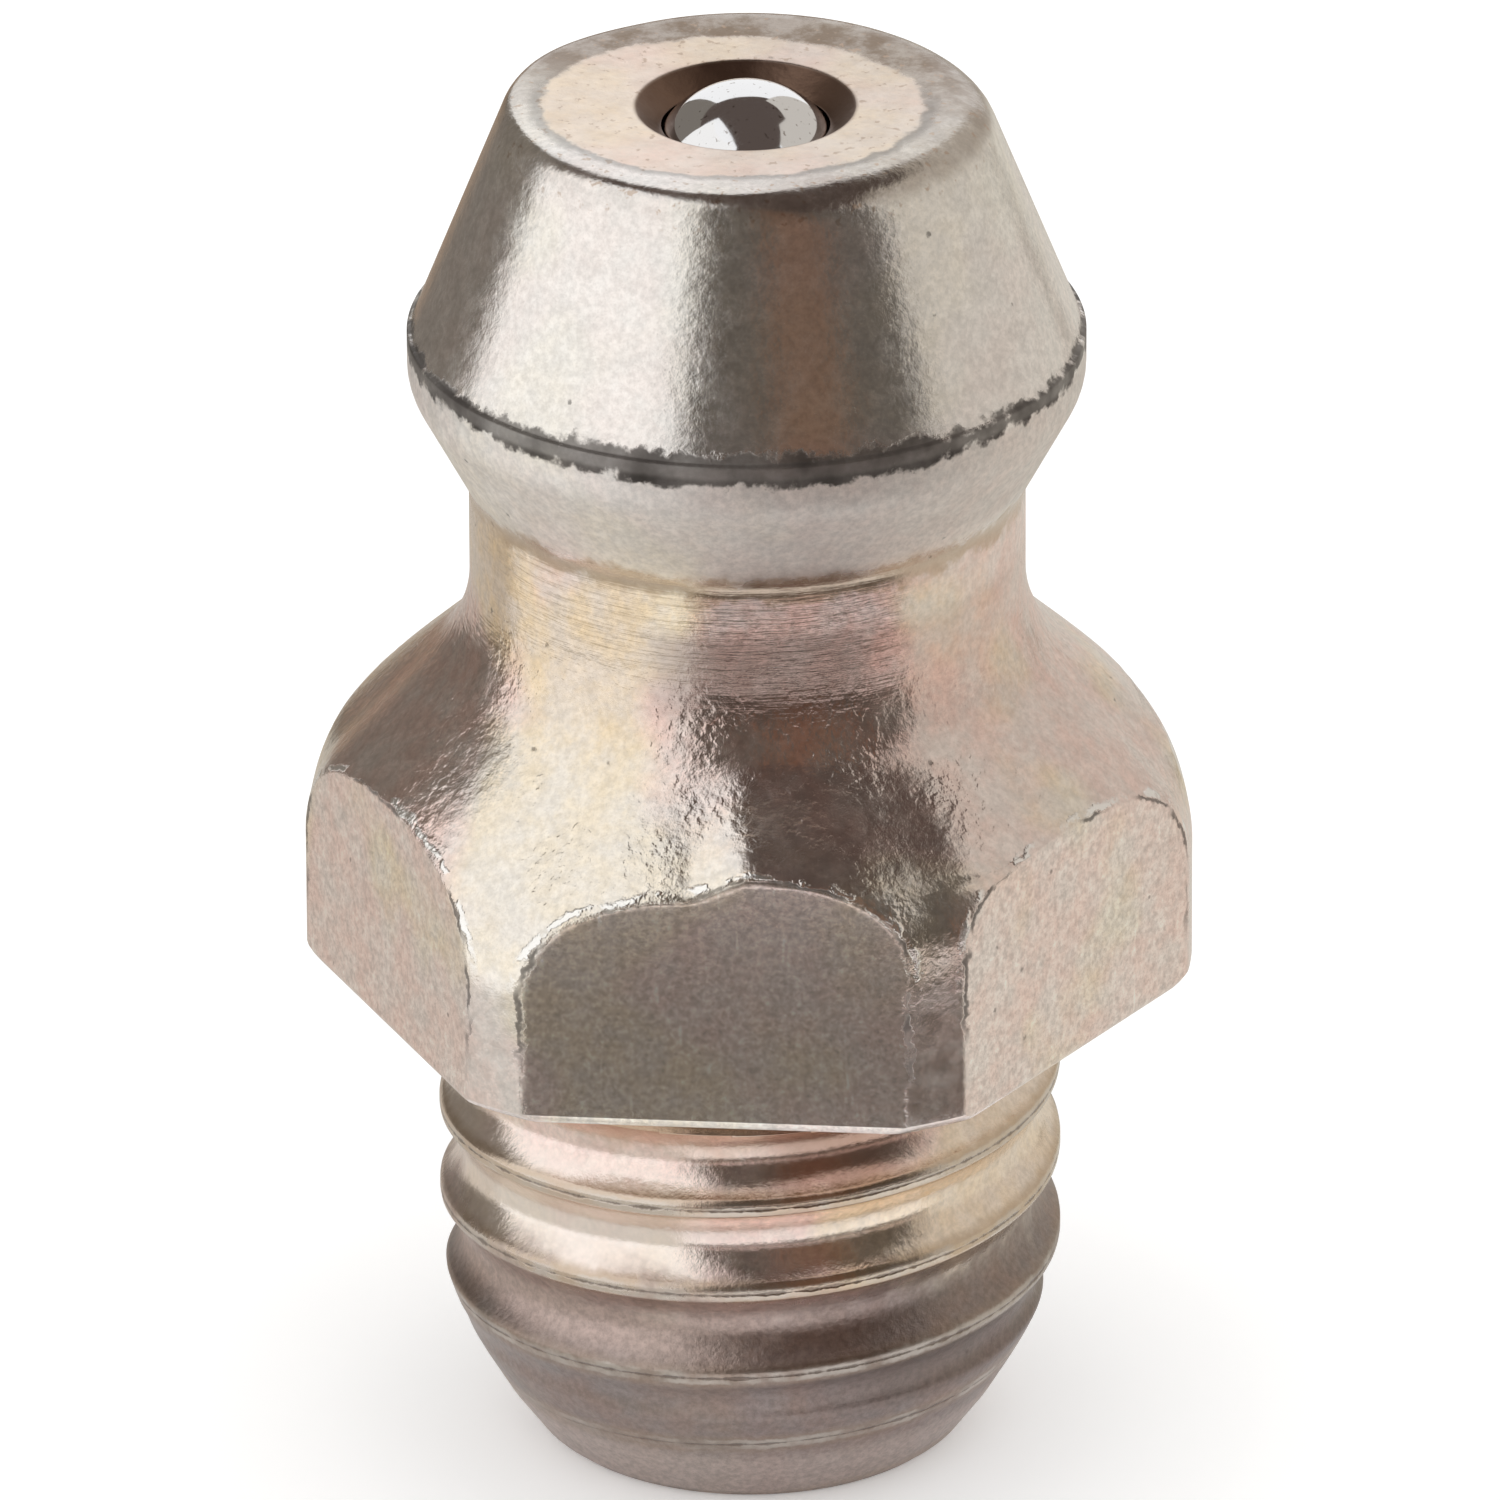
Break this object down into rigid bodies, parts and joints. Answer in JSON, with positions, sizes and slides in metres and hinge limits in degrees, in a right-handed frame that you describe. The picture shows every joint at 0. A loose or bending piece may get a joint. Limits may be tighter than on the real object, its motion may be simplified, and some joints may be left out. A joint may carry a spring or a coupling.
{
  "type": "grease nipple",
  "caption": "Straight steel grease nipple with a double cone head, a spring-loaded check ball in its mouth, a flared hexagon and a short right-hand thread.",
  "frame": {"origin": "centre of the threaded end, on the surface that the nipple stands on", "axes": "+Z along the axis from the threaded end to the head; -Y is the outward normal of one flat of the hexagon"},
  "size_m": [0.0086, 0.0078, 0.014],
  "materials": {
    "plated_steel": "bright zinc plate with a thin yellow and pink passivate, satin and slightly pitted",
    "ball_steel": "hardened and polished",
    "spring_steel": "drawn wire, bright"
  },
  "bodies": {
    "nipple": {"body": "plated_steel", "spring": "spring_steel"},
    "check_ball": {"ball": "ball_steel"}
  },
  "joints": [
    {"name": "ball_lift", "type": "slide", "parent": "nipple", "child": "check_ball", "axis": [0, 0, -1], "range_m": [0, 0.0008], "stiffness_N_per_m": 1200, "springref_m": -0.0012, "deforming": ["spring"]}
  ]
}
